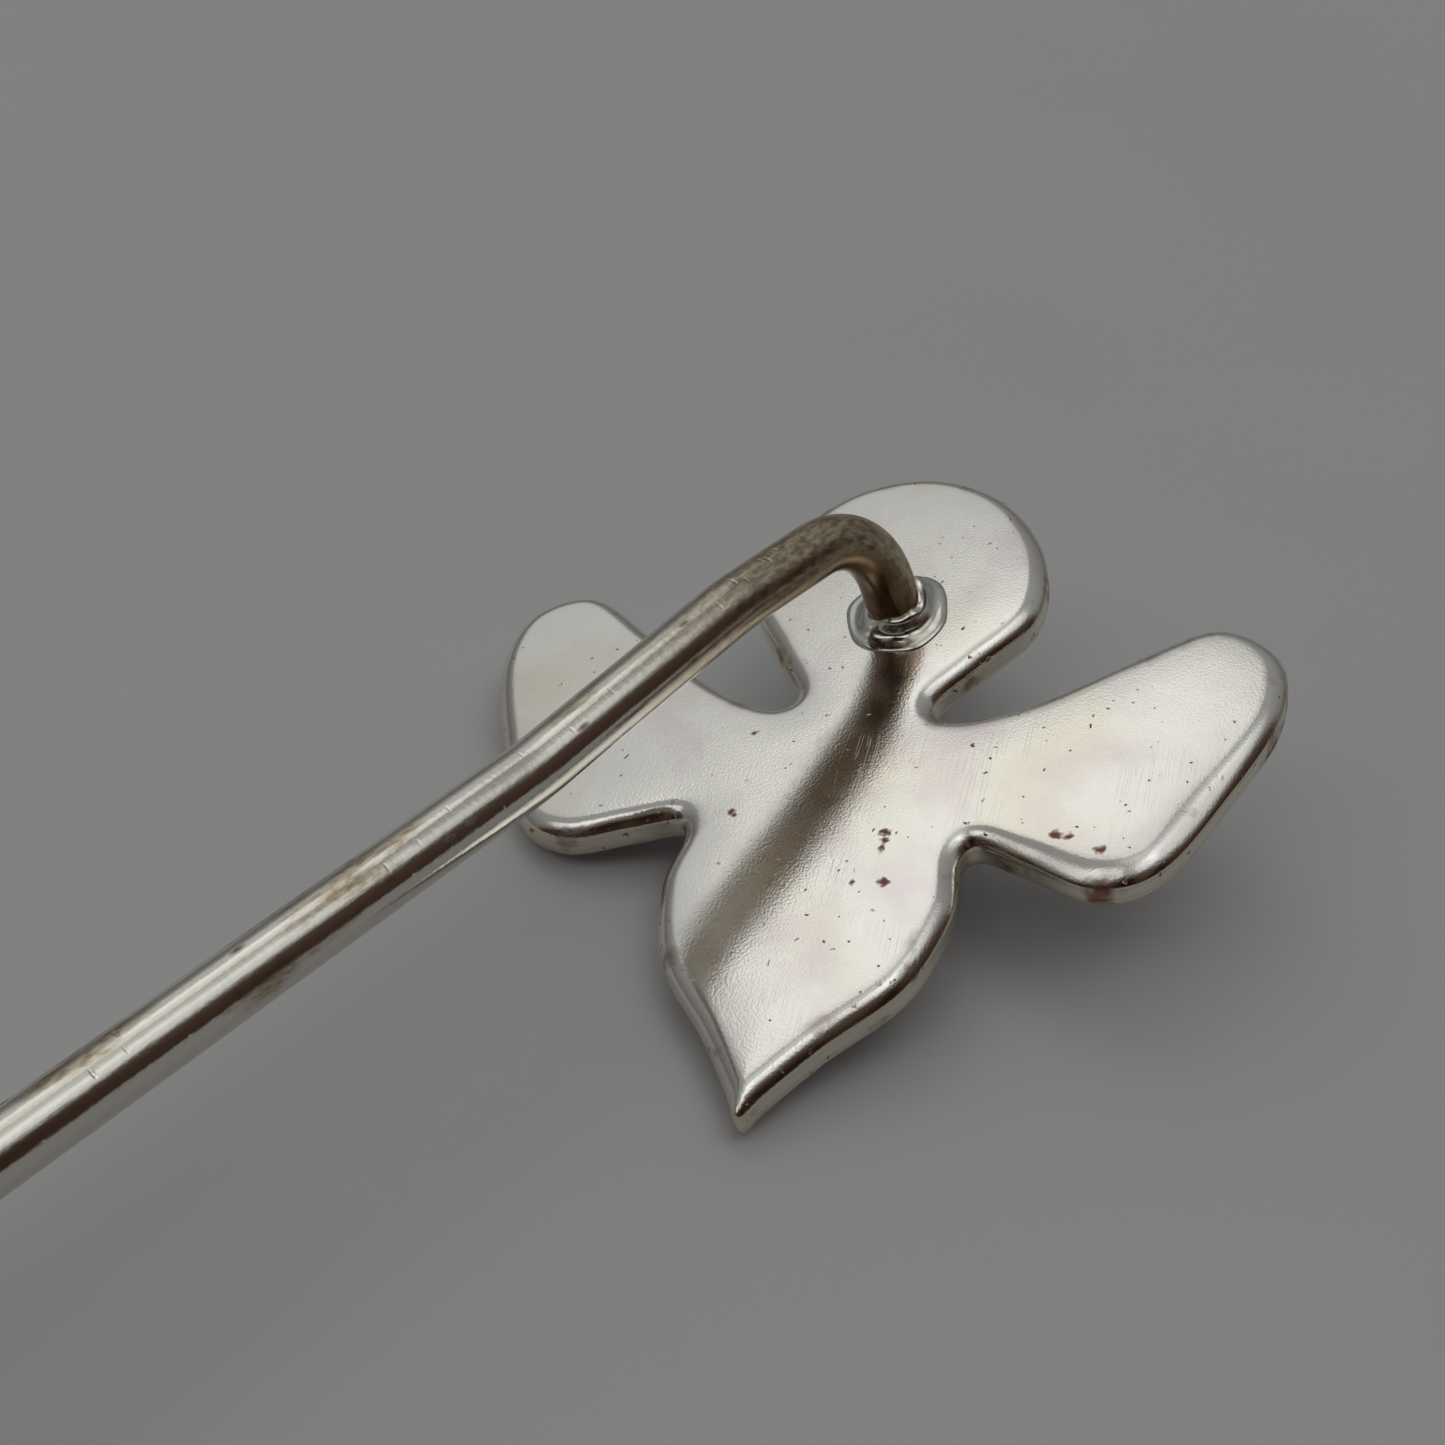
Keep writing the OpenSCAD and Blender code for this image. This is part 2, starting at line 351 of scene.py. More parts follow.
# %% Where the pits are
# Deep pits that have gone brown, as u, v and radius on the back
PITS = [
    (0.98, -2.34, 0.05), (1.03, -2.5, 0.06), (1.0, -2.64, 0.05), (1.15, -3.26, 0.07),
    (-1.47, -2.18, 0.06), (3.5, -2.09, 0.08), (3.68, -2.11, 0.06), (4.18, -2.31, 0.07),
    (0.72, -3.3, 0.04), (-1.55, -0.53, 0.04),
]
# How far the round pits and specks are pulled out of shape, and how finely
PULLED = 0.22
PULLS_PER_MM = 7.0
print(len(PITS), "pits, the widest", round(2 * max(radius for _, _, radius in PITS), 2), "mm across")


# %% Worn silver plate
def silver_plate():
    material, tree, shader = finish_named("worn_silver_plate")
    where = mark(tree, "plate_mm")
    edge = mark(tree, "edge", "Fac")
    wander = add(tree, "TexNoise", {"Vector": where, "Scale": PULLS_PER_MM, "Detail": 2.0}).outputs["Color"]
    shift = add(tree, "VectorMath", {0: wander, 1: (0.5, 0.5, 0.5)}, operation="SUBTRACT").outputs[0]
    small = add(tree, "VectorMath", {0: shift, "Scale": PULLED}, operation="SCALE").outputs[0]
    uneven = add(tree, "VectorMath", {0: where, 1: small}, operation="ADD").outputs[0]

    # Colour: silver, thinned to yellow and bloomed to pink in broad patches
    yellow = cloudy(tree, where, 0.45, 0.48, 0.7)
    pink = cloudy(tree, uneven, 0.8, 0.5, 0.72)
    colour = blended(tree, yellow, paint("F1EFEA"), paint("EAE5D6"))
    colour = blended(tree, multiplied(tree, pink, 0.7), colour, paint("E4D9DC"))

    # Brown sulphide: in the deep pits, in fine specks, and in patches along the rim
    clustered = cloudy(tree, where, 0.5, 0.36, 0.5)
    brown = multiplied(tree, spots(tree, uneven, 3.4, 0.05, 0.05), clustered)
    for u, v, radius in PITS:
        away = add(tree, "VectorMath", {0: uneven, 1: (u, v, BACK_T)}, operation="DISTANCE")
        limits = {"From Min": radius + 0.03, "From Max": radius - 0.02}
        pit = add(tree, "MapRange", {"Value": away.outputs["Value"], **limits}).outputs[0]
        brown = add(tree, "Math", {0: brown, 1: pit}, operation="MAXIMUM").outputs[0]
    rim_patch = multiplied(tree, cloudy(tree, where, 1.3, 0.57, 0.7, 6.0), edge)
    rim_speck = multiplied(tree, spots(tree, uneven, 3.2, 0.08, 0.07), edge)
    rim = add(tree, "Math", {0: rim_patch, 1: rim_speck}, operation="MAXIMUM").outputs[0]
    stain = add(tree, "Math", {0: brown, 1: rim}, operation="MAXIMUM").outputs[0]
    # On the wall and the lowest of the roll, the silver is thin and shows yellow
    colour = blended(tree, band(tree, edge, 0.95, 0.1), colour, paint("D6CEB4"))
    colour = blended(tree, multiplied(tree, stain, 0.9), colour, paint("84482A"))
    tree.links.new(colour, shader.inputs["Base Color"])

    # Gloss: satin, a little sharper in patches, and dull where it has gone brown
    satin = cloudy(tree, where, 1.5, 0.3, 0.7)
    gloss = add(tree, "MapRange", {"Value": satin, "To Min": 0.1, "To Max": 0.16}).outputs[0]
    dull = add(tree, "Mix", {0: stain, 2: gloss, 3: 0.5}, data_type="FLOAT").outputs[0]
    tree.links.new(dull, shader.inputs["Roughness"])
    shader.inputs["Metallic"].default_value = 1.0

    # Relief: grain 0.04 mm across, hairlines some 0.08 mm apart, and the pits and stains sunk.
    # Real polishing scratches lie closer than that, but would be too fine to show
    grain = add(tree, "TexNoise", {"Vector": where, "Scale": 24.0, "Detail": 3.0}).outputs["Fac"]
    relief = add(tree, "Bump", {"Height": grain, "Strength": 1.0, "Distance": 2.2e-6})
    hair = streaks(tree, where, (12.0, 0.6, 1.0), 4, 0.012)
    worn = multiplied(tree, hair, cloudy(tree, where, 0.6, 0.52, 0.7))
    cuts = add(
        tree, "Bump", {"Height": worn, "Strength": 1.0, "Distance": -6e-7, "Normal": relief.outputs[0]}
    )
    sunk = add(
        tree, "Bump", {"Height": stain, "Strength": 1.0, "Distance": -5e-6, "Normal": cuts.outputs[0]}
    )
    tree.links.new(sunk.outputs[0], shader.inputs["Normal"])
    return material


worn_silver = silver_plate()
print("nodes in", worn_silver.name + ":", len(worn_silver.node_tree.nodes))

# %% [markdown]
# ## Piece: the ornament plate
# The real plate is punched from sheet, so its wall is upright, and the punch and the tumbling
# have rolled its edges. A curve with a bevel would round the edge, but its corners cross each
# other in the tight notches between the lobes. Here each point of the back takes its height
# from its true distance to the outline, so the roll stays even round every lobe and notch.
# The front isn't seen from the camera. It has the same rolled edge, a groove along its border
# and a vein down the middle of each lobe, as plain stamped ornaments of this kind do.

# %% Outline: a smooth closed curve through a few points of its right half
HALF = [
    (0, 5.86), (1.35, 5.38), (2.27, 4.1), (2.42, 2.6), (1.68, 1.38), (1.14, 0.5),
    (1.52, 0.16), (2.65, 0.62), (4.05, 1.68), (5.3, 2.48), (6.3, 1.95), (6.44, 0.7),
    (5.8, -1.0), (5.05, -2.45), (4.15, -2.86), (3.1, -2.53), (2.38, -2.3), (2.16, -2.62),
    (2.24, -3.6), (1.84, -4.95), (0.92, -6.08), (0.3, -6.95), (0, -7.4),
]
SPAN_STEPS = 12

ring = np.array(HALF + [(-u, v) for u, v in HALF[-2:0:-1]], float)


def through(a, b, c, d, t):
    """A smooth curve that runs through b and c, at t from 0 to 1."""
    return 0.5 * (
        2 * b + (c - a) * t + (2 * a - 5 * b + 4 * c - d) * t**2 + (3 * b - a - 3 * c + d) * t**3
    )


before, after, beyond = np.roll(ring, 1, 0), np.roll(ring, -1, 0), np.roll(ring, -2, 0)
spans = [through(before, ring, after, beyond, k / SPAN_STEPS) for k in range(SPAN_STEPS)]
outline = np.stack(spans, 1).reshape(-1, 2)
step_along = np.roll(outline, -1, 0) - np.roll(outline, 1, 0)
step_along /= np.linalg.norm(step_along, axis=1)[:, None]
inward = np.stack([step_along[:, 1], -step_along[:, 0]], 1)
print("outline:", len(outline), "points,", round(np.ptp(outline[:, 0]), 2), "mm wide")


# %% Points of the back: closely spaced rings inside the edge, then an even field
def edge_distance(points):
    """How far each point is from the outline."""
    start, run = outline, np.roll(outline, -1, 0) - outline
    away = points[:, None, :] - start
    share = np.clip((away * run).sum(2) / (run * run).sum(1), 0, 1)
    return np.linalg.norm(away - share[..., None] * run, axis=2).min(1)


RING_DEPTHS = [0.012, 0.03, 0.055, 0.09, 0.13, 0.18, 0.24, 0.31, 0.39, 0.48]
FIELD_STEP = 0.17
FIELD_GAP = 0.06
FIELD_HALF = 7
# In a notch, rings of the two sides would cross. A point stays if this much of its depth is true
TRUE_DEPTH = 0.985

layers = []
for depth in RING_DEPTHS:
    moved = outline + depth * inward
    layers.append(moved[edge_distance(moved) > depth * TRUE_DEPTH])
rows = np.arange(outline[:, 1].min(), outline[:, 1].max(), FIELD_STEP * math.sqrt(3) / 2)
for i, v in enumerate(rows):
    u = np.arange(-FIELD_HALF, FIELD_HALF, FIELD_STEP) + FIELD_STEP / 2 * (i % 2)
    row = np.stack([u, np.full(len(u), v)], 1)
    layers.append(row[edge_distance(row) > RING_DEPTHS[-1] + FIELD_GAP])
flat_points = [Vector(p) for p in np.concatenate([outline] + layers)]
loop = list(range(len(outline)))[::-1]
# Points outside the loop come back unused, so they are dropped and the rest renumbered
flat, _, triangles, origins, _, _ = delaunay_2d_cdt(flat_points, [], [loop], 1, 1e-7)
used = sorted({i for t in triangles for i in t})
renumbered = {i: k for k, i in enumerate(used)}
triangles = [tuple(renumbered[i] for i in t) for t in triangles]
rim_index = {o: renumbered[i] for i in used for o in origins[i] if o < len(outline)}
flat = np.array([tuple(flat[i]) for i in used])
print("back:", len(flat), "points,", len(triangles), "triangles")

# %% Heights: a rolled edge, a slightly uneven back and a stamped front
# The back's edge rolls over within BACK_ROLL, and is between a chamfer (1) and an ellipse (2)
BACK_ROLL = 0.27
ROLL_ROUND = 1.55
# By one wing's lower edge, wear has made the roll wider and the back there lower
WORN_AT = [(4.1, -2.9), (5.7, -1.5)]
WORN_LONG = 1.3
WORN_ROLL = 0.12
WORN_CROWN = 0.05
# The back falls off a little over its outer CROWN_WIDE
CROWN_DROP = 0.025
CROWN_WIDE = 1.0
FRONT_T = 0.5
FRONT_ROLL = 0.3
BORDER_AT = 0.85
GROOVE_DEEP = 0.05
GROOVE_WIDE = 0.13
UNEVEN = 0.004
SWELLS_PER_MM = 0.42
VEIN_FROM, VEIN_LONG = 0.9, 4.2
VEINS_TOWARDS = [0, 76, -76, 180]

depth = edge_distance(flat)


def rolled(depth, width, power=2.0):
    """0 at the edge and 1 past width. Power 2 is a quarter of an ellipse, and 1 a flat chamfer."""
    return (1 - (1 - np.clip(depth / width, 0, 1)) ** power) ** (1 / power)


def groove(distance, width):
    """A soft bell: 1 at distance 0, and almost 0 from twice the width on."""
    return np.exp(-((distance / width) ** 2))


swell = np.array([noise.noise(Vector((u * SWELLS_PER_MM, v * SWELLS_PER_MM, 3.1))) for u, v in flat])
inner = np.clip(depth / BACK_ROLL, 0, 1)
worn = [groove(np.linalg.norm(flat - np.array(at), axis=1), WORN_LONG) for at in WORN_AT]
worn = np.maximum(*worn)
roll = BACK_ROLL + WORN_ROLL * worn
crown = (CROWN_DROP + WORN_CROWN * worn) * np.clip(1 - depth / CROWN_WIDE, 0, 1) ** 2
back_n = (BACK_T - crown) * rolled(depth, roll, ROLL_ROUND) + UNEVEN * swell * inner
veins = np.zeros(len(flat))
for lobe_heading in VEINS_TOWARDS:
    a = math.radians(lobe_heading)
    along = flat @ np.array([math.sin(a), math.cos(a)])
    across = flat @ np.array([math.cos(a), -math.sin(a)])
    fade = np.clip((along - VEIN_FROM) * 2, 0, 1) * np.clip((VEIN_LONG - along) * 2, 0, 1)
    veins = np.maximum(veins, groove(across, GROOVE_WIDE) * fade)
border = groove(depth - BORDER_AT, GROOVE_WIDE)
front_n = -FRONT_T / 2 * (1 + rolled(depth, FRONT_ROLL))
front_n += GROOVE_DEEP * np.maximum(veins, border) * np.clip(depth / FRONT_ROLL, 0, 1)
print("back", round(back_n.max(), 3), "front", round(front_n.min(), 3))

# %% Close the plate: back, wall and front
WALL_RINGS = [-0.06, -0.125, -0.19]
# The finish's mark for the edge: 1 at the rim, 0 from RIM_WIDE in, and a little less on the wall
RIM_WIDE = 0.4
WALL_MARK = 0.9

count, around = len(flat), len(outline)
back_points = np.column_stack([flat, back_n])
front_points = np.column_stack([flat, front_n])
wall_points = [np.column_stack([outline, np.full(around, n)]) for n in WALL_RINGS]
points = np.concatenate([back_points, front_points] + wall_points)
rim_of = [rim_index[i] for i in range(around)]
loops = [rim_of]
loops += [[2 * count + k * around + i for i in range(around)] for k in range(len(WALL_RINGS))]
loops += [[count + i for i in rim_of]]
faces = [tuple(t) for t in triangles] + [tuple(count + i for i in reversed(t)) for t in triangles]
for upper, lower in zip(loops, loops[1:]):
    for i in range(around):
        j = (i + 1) % around
        faces.append((upper[i], upper[j], lower[j], lower[i]))
wall_edge = np.full(around, WALL_MARK)
near_rim = np.clip(1 - depth / RIM_WIDE, 0, 1)
edge = np.concatenate([near_rim, near_rim] + [wall_edge] * len(WALL_RINGS))
make_piece(
    "ornament_plate", "pin", "silver_plate", points, faces, worn_silver, plate_mm=points, edge=edge
)

# %% [markdown]
# ## Piece: the pin wire
# A stick pin's wire is hard drawn, bent by hand round pliers and ground to a point. A Blender
# curve with a bevel would draw it, but couldn't draw the end finer and grind the point. The
# wire is swept here: a ring of points at each step of its route, with its own radius. The
# route is straight lines with a round bend at each corner, all in one plane that leans a
# little to the left.

# %% The wire's route
WIRE_D = 0.9
POST_H = 2.05
BEND_R = 1.6
KINK_X = [3.1, 7.4]
KINK_R = 8
SHANK_LEN = 43
POINT_LEN = 5
END_D = 0.86
FOOT = Vector((0.2, 2.25, BACK_T))
SUNK = 0.1
GUARD_AT = 34
BEND_STEP, STRAIGHT_STEP, SHANK_STEP = 0.1, 0.2, 0.25


def slope(degrees):
    return math.tan(math.radians(degrees))


kink_z = [POST_H + KINK_X[0] * slope(CLIMB[0])]
kink_z.append(kink_z[0] + (KINK_X[1] - KINK_X[0]) * slope(CLIMB[1]))
last_kink = Vector((KINK_X[1], kink_z[1]))
shank_way = Vector((math.cos(shank_climb), math.sin(shank_climb)))
corners = [
    Vector((0, -SUNK)), Vector((0, POST_H)), Vector((KINK_X[0], kink_z[0])),
    last_kink, last_kink + SHANK_LEN * shank_way,
]


def rounded(a, corner, b, radius, step):
    """The arc that rounds a corner between two straight stretches."""
    into, out = (corner - a).normalized(), (b - corner).normalized()
    turn = into.angle_signed(out)
    reach = radius * math.tan(abs(turn) / 2)
    steps = max(6, round(abs(turn) * radius / step))
    arc = [corner - into * reach]
    for k in range(steps):
        middle = abs(turn) * (k + 0.5) / steps * math.copysign(1, turn)
        chord = 2 * radius * math.sin(abs(turn) / steps / 2)
        way = Matrix.Rotation(-middle, 2) @ into
        arc.append(arc[-1] + way * chord)
    return arc


def stretched(a, b, step):
    """Points between a and b, without them."""
    steps = max(1, round((b - a).length / step))
    return [a.lerp(b, k / steps) for k in range(1, steps)]


route = [corners[0]]
for i, radius in enumerate([BEND_R, KINK_R, KINK_R], 1):
    arc = rounded(corners[i - 1], corners[i], corners[i + 1], radius, BEND_STEP)
    route += stretched(route[-1], arc[0], STRAIGHT_STEP) + arc
route += stretched(route[-1], corners[-1], SHANK_STEP) + [corners[-1]]
route = np.array([tuple(p) for p in route])
route_steps = np.linalg.norm(np.diff(route, axis=0), axis=1)
print("route:", len(route), "rings,", round(float(route_steps.sum()), 1), "mm")

# %% [markdown]
# ## Finish: tarnished plate on drawn wire, with painted shade underneath
# The wire is hard brass or steel under thin silver plate. Drawing leaves long fine lines along
# it, and fingers and cloth have rubbed it, so the plate shows in bright stretches and a warm
# brown tarnish covers the rest. It is thickest by the solder, where heat has darkened it, and
# the jaws of pliers have left short nicks across it.
# Its underside is painted darker too: partly more tarnish, partly painted shade.


# %% Tarnished wire, with painted shade underneath
PATTERN_FROM = 7.3
# How far out from the wire's middle the rubbed upper side ends and the darker underside starts: partly
# tarnish, partly painted shade
UPPER, UNDER = 0.1, -0.15


def tarnished_wire_with_painted_shade():
    material, tree, shader = finish_named("tarnished_silver_on_wire_with_painted_shade")
    where = mark(tree, "wire_mm")
    near_post = mark(tree, "near_post", "Fac")
    out = add(tree, "SeparateXYZ", {0: where}).outputs["Z"]
    below = add(tree, "MapRange", {"Value": out, "From Min": UPPER, "From Max": UNDER}).outputs[0]

    # The tarnish lies in stretches 3 mm long and 0.6 mm wide, darker in fine mottles, and covers
    # the whole wire near the post
    laid = {"Vector": where, "Location": (PATTERN_FROM, 0, 0), "Scale": (0.35, 1.6, 1.6)}
    long_way = add(tree, "Mapping", laid).outputs[0]
    film = multiplied(tree, cloudy(tree, long_way, 1.0, 0.55, 0.63, 6.0), 0.75)
    short_way = add(tree, "Mapping", {"Vector": where, "Scale": (6.0, 13.0, 13.0)}).outputs[0]
    mottle = cloudy(tree, short_way, 1.0, 0.4, 0.62, 4.0)
    film = add(tree, "Math", {0: film, 1: near_post}, operation="MAXIMUM").outputs[0]
    colour = blended(tree, multiplied(tree, film, 0.85), paint("E6E3DA"), paint("C6B598"))
    colour = blended(tree, multiplied(tree, mottle, multiplied(tree, film, 0.85)), colour, paint("8C7A5E"))
    # Underneath the colour is darker, most of all near the post. This is partly tarnish, rubbed off less
    # there, and partly painted shade for the dark stripe along the wire's lower side
    underside_tarnish_and_painted_shade = add(tree, "MapRange", {"Value": near_post, "To Min": 0.2, "To Max": 0.85}).outputs[0]
    colour = blended(tree, multiplied(tree, below, underside_tarnish_and_painted_shade), colour, paint("7C6445"))

    # Rust-brown flecks, few and small
    fleck_way = add(tree, "Mapping", {"Vector": where, "Scale": (0.7, 1.9, 1.9)}).outputs[0]
    flecks = spots(tree, fleck_way, 1.3, 0.04, 0.1)
    colour = blended(tree, multiplied(tree, flecks, 0.8), colour, paint("6E4A2C"))
    tree.links.new(colour, shader.inputs["Base Color"])
    shader.inputs["Metallic"].default_value = 1.0
    gloss = add(tree, "MapRange", {"Value": film, "To Min": 0.14, "To Max": 0.26}).outputs[0]
    dull = add(tree, "Mix", {0: flecks, 2: gloss, 3: 0.55}, data_type="FLOAT").outputs[0]
    tree.links.new(dull, shader.inputs["Roughness"])

    # Relief: drawing lines 0.06 mm apart, a grain of 0.09 mm, and nicks across
    drawn = add(tree, "Mapping", {"Vector": where, "Scale": (0.8, 16.0, 16.0)}).outputs[0]
    lines = add(tree, "TexNoise", {"Vector": drawn, "Scale": 1.0, "Detail": 2.0}).outputs["Fac"]
    relief = add(tree, "Bump", {"Height": lines, "Strength": 1.0, "Distance": 1.5e-6})
    grain = add(tree, "TexNoise", {"Vector": where, "Scale": 11.0, "Detail": 3.0}).outputs["Fac"]
    fine = add(
        tree, "Bump", {"Height": grain, "Strength": 1.0, "Distance": 2.5e-6, "Normal": relief.outputs[0]}
    )
    jaw = add(tree, "Mapping", {"Vector": where, "Scale": (5.0, 2.0, 2.0)}).outputs[0]
    nicks = spots(tree, jaw, 1.0, 0.08, 0.1)
    nicked = multiplied(tree, nicks, cloudy(tree, where, 0.35, 0.45, 0.6))
    cuts = add(
        tree, "Bump", {"Height": nicked, "Strength": 1.0, "Distance": -6e-6, "Normal": fine.outputs[0]}
    )
    tree.links.new(cuts.outputs[0], shader.inputs["Normal"])
    return material


wire_finish = tarnished_wire_with_painted_shade()
print("nodes in", wire_finish.name + ":", len(wire_finish.node_tree.nodes))

# %% Sweep a ring of points along the route
SIDES = 40
TIP_R = 0.06
TIP_ROUND = 0.12
DRAW_LEN = 1
HAND_BENT = 0.005
# The mark for the heat-darkened end is 1 up to HEATED along the wire, and 0 from COOL on
HEATED, COOL = 3.6, 7.6

radius_at = [0, GUARD_AT - DRAW_LEN, GUARD_AT, SHANK_LEN - POINT_LEN, SHANK_LEN - TIP_ROUND, SHANK_LEN]
radii = [WIRE_D / 2, WIRE_D / 2, END_D / 2, END_D / 2, TIP_R + 0.01, TIP_R / 2]

tangent = np.gradient(route, axis=0)
tangent /= np.linalg.norm(tangent, axis=1)[:, None]
length = np.concatenate([[0], np.cumsum(route_steps)])
past_kink = (route - np.array(last_kink)) @ np.array(shank_way)
radius = np.interp(past_kink, radius_at, radii)

points, unrolled, near_post = [], [], []
for i, (x, z) in enumerate(route):
    for k in range(SIDES):
        a = 2 * math.pi * k / SIDES
        across, out = math.cos(a), math.sin(a)
        round_about = Vector((length[i], across * WIRE_D / 2, out * WIRE_D / 2))
        r = radius[i] * (1 + HAND_BENT * noise.noise(round_about * 1.1))
        local = Vector((x - out * r * tangent[i][1], across * r, z + out * r * tangent[i][0]))
        points.append(FOOT + WIRE_TURN @ local)
        unrolled.append(round_about)
        near_post.append(min(1, max(0, (COOL - length[i]) / (COOL - HEATED))))
faces = []
for i in range(len(route) - 1):
    for k in range(SIDES):
        here, side = i * SIDES + k, i * SIDES + (k + 1) % SIDES
        faces.append((here, side, side + SIDES, here + SIDES))
faces.append(tuple(range(SIDES))[::-1])
faces.append(tuple((len(route) - 1) * SIDES + k for k in range(SIDES)))
wire = make_piece(
    "pin_stem", "pin", "pin_wire", points, faces, wire_finish, wire_mm=unrolled, near_post=near_post
)

# %% [markdown]
# ## Pieces turned round an axis
# The solder ring and the three pieces of the guard are all round. The Screw modifier would
# turn a profile too. Here one function turns a list of radius and height pairs, because the
# solder also needs its radius and height to change as it goes round.


# %% Turn a profile
def turned_piece(profile, place, sides=72, bulge=None, closed=False):
    """Points and faces of a profile of (radius, height), turned and then moved by place."""
    points = []
    for radius, height in profile:
        for k in range(sides):
            a = 2 * math.pi * k / sides
            r, h = bulge(radius, height, a) if bulge else (radius, height)
            points.append(place @ Vector((r * math.cos(a), r * math.sin(a), h)))
    rows = list(range(len(profile)))
    pairs = list(zip(rows, rows[1:])) + ([(rows[-1], 0)] if closed else [])
    faces = []
    for low, high in pairs:
        for k in range(sides):
            here, side = k, (k + 1) % sides
            lower, upper = low * sides, high * sides
            faces.append((lower + here, lower + side, upper + side, upper + here))
    if not closed:
        faces.append(tuple(range(sides))[::-1])
        faces.append(tuple((len(profile) - 1) * sides + k for k in range(sides)))
    return points, faces


def arc_of(centre, radius, start, end, steps):
    """Points of an arc in a profile. radius is one number, or a width and a height."""
    wide, high = radius if isinstance(radius, tuple) else (radius, radius)
    turns = [math.radians(start + (end - start) * k / steps) for k in range(steps + 1)]
    return [(centre[0] + wide * math.cos(t), centre[1] + high * math.sin(t)) for t in turns]


# %% [markdown]
# ## Finish and piece: the solder
# Soft solder flows while it is hot and sets with a skin as smooth as a drop of water, so it
# is brighter than the plate, with the faintest ripple. It has spread to a thin disc with a
# raised ring round the wire, and has climbed higher on the side where the iron left it.


# %% Bright solder
def bright_solder():
    """Tin-rich solder: a bright skin, with a dull haze where the flux has dried."""
    material, tree, shader = finish_named("bright_solder")
    where = mark(tree, "own_mm")
    haze = cloudy(tree, where, 2.2, 0.45, 0.75)
    tree.links.new(blended(tree, haze, paint("E6E5DF"), paint("C9C2B2")), shader.inputs["Base Color"])
    gloss = add(tree, "MapRange", {"Value": haze, "To Min": 0.12, "To Max": 0.26}).outputs[0]
    tree.links.new(gloss, shader.inputs["Roughness"])
    shader.inputs["Metallic"].default_value = 1.0
    ripple = add(tree, "TexNoise", {"Vector": where, "Scale": 6.0, "Detail": 2.0}).outputs["Fac"]
    bump = add(tree, "Bump", {"Height": ripple, "Strength": 1.0, "Distance": 4e-6})
    tree.links.new(bump.outputs[0], shader.inputs["Normal"])
    return material


solder_skin = bright_solder()
print("nodes in", solder_skin.name + ":", len(solder_skin.node_tree.nodes))

# %% Solder collar
BLOB_TOWARDS = math.radians(50)
BLOB_HALF = math.radians(38)
# What the blob and the ripple add to the width and to the height, as shares of them
BLOB_WIDE, BLOB_HIGH = 0.05, 0.7
RIPPLE_WIDE, RIPPLE_HIGH = 0.16, 0.4
COLLAR_SUNK = 0.01
collar_profile = [(0.86, 0.0), (0.84, 0.04), (0.8, 0.065), (0.75, 0.075), (0.7, 0.08), (0.65, 0.095)]
collar_profile += [(0.6, 0.13), (0.56, 0.18), (0.53, 0.24), (0.505, 0.3), (0.48, 0.34), (0.4, 0.36)]
collar_profile += [(0.3, 0.36)]


def climbs(radius, height, a):
    """The blob: higher, and a little wider, on one side."""
    away = (a - BLOB_TOWARDS + math.pi) % (2 * math.pi) - math.pi
    lift = math.exp(-((away / BLOB_HALF) ** 2))
    ripple = noise.noise(Vector((math.cos(a) * 1.3, math.sin(a) * 1.3, height * 4)))
    wider = 1 + RIPPLE_WIDE * ripple + BLOB_WIDE * lift
    higher = 1 + RIPPLE_HIGH * ripple + BLOB_HIGH * lift
    return radius * wider, height * higher - COLLAR_SUNK


points, faces = turned_piece(collar_profile, Matrix.Translation(FOOT), 64, climbs)
make_piece("solder_collar", "pin", "solder", points, faces, solder_skin, own_mm=points)

# %% [markdown]
# ## Finish and pieces: the guard
# The guard isn't in view, so it is the plain kind sold for stick pins: a barrel drawn from
# sheet, closed by a dome and pressed in with two fine rings to hold its sleeve, a nylon
# sleeve that grips the wire, and a ring pressed over the mouth. The metal is plated and
# polished, and handled less than the ornament, so it keeps a clean mirror with hairlines
# round it. Natural nylon is a slightly translucent, waxy white.


# %% Guard finishes
def polished_plate():
    material, tree, shader = finish_named("polished_nickel_silver")
    where = mark(tree, "own_mm")
    haze = cloudy(tree, where, 0.7, 0.45, 0.8)
    tree.links.new(blended(tree, haze, paint("E9E7E2"), paint("DCD6C8")), shader.inputs["Base Color"])
    gloss = add(tree, "MapRange", {"Value": haze, "To Min": 0.13, "To Max": 0.22}).outputs[0]
    tree.links.new(gloss, shader.inputs["Roughness"])
    shader.inputs["Metallic"].default_value = 1.0
    round_it = add(tree, "Mapping", {"Vector": where, "Scale": (1.0, 1.0, 22.0)}).outputs[0]
    lathe = add(tree, "TexNoise", {"Vector": round_it, "Scale": 1.0, "Detail": 2.0}).outputs["Fac"]
    bump = add(tree, "Bump", {"Height": lathe, "Strength": 1.0, "Distance": 1.2e-6})
    tree.links.new(bump.outputs[0], shader.inputs["Normal"])
    return material


def natural_nylon():
    material, tree, shader = finish_named("natural_nylon")
    where = mark(tree, "own_mm")
    milk = cloudy(tree, where, 1.2, 0.3, 0.7)
    tree.links.new(blended(tree, milk, paint("EDE9DC"), paint("E2DBC8")), shader.inputs["Base Color"])
    shader.inputs["Roughness"].default_value = 0.42
    shader.inputs["IOR"].default_value = 1.53
    shader.inputs["Subsurface Weight"].default_value = 0.25
    shader.inputs["Subsurface Scale"].default_value = 0.0004
    flow = add(tree, "TexNoise", {"Vector": where, "Scale": 5.0, "Detail": 3.0}).outputs["Fac"]
    bump = add(tree, "Bump", {"Height": flow, "Strength": 1.0, "Distance": 3e-6})
    tree.links.new(bump.outputs[0], shader.inputs["Normal"])
    return material


guard_plate = polished_plate()
nylon = natural_nylon()
print("guard finishes:", guard_plate.name, "and", nylon.name)

